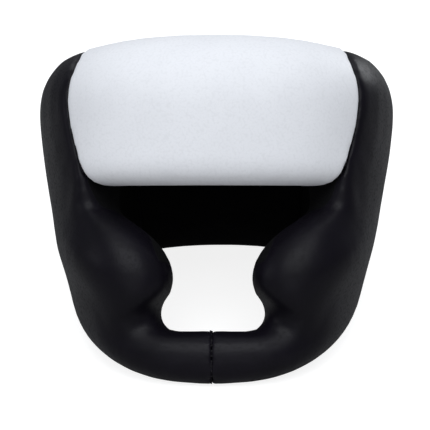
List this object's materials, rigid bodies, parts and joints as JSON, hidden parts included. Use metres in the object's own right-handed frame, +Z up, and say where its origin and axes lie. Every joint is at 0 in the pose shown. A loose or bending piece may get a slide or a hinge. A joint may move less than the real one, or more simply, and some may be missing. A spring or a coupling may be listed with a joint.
{
  "type": "head guard",
  "caption": "Padded leather head guard with a closed crown, a pale brow pad, full cheeks, a chin bar and a T-shaped face opening, for combat sport training.",
  "frame": {"origin": "middle of the bounding box's underside, on the surface that the guard rests on", "axes": "+Z up as it stands, the face opening towards -Y, +X to the right of someone who faces the guard"},
  "size_m": [0.2608, 0.31, 0.2172],
  "materials": {
    "white_leather": "satin",
    "black_leather": "satin",
    "black_webbing": "matte"
  },
  "bodies": {
    "root": {"brow_pad": "white_leather", "side_pad_left": "black_leather", "side_pad_right": "black_leather", "back_pad": "black_leather", "crown_panel": "black_leather", "rear_strap": "black_webbing"}
  },
  "joints": []
}
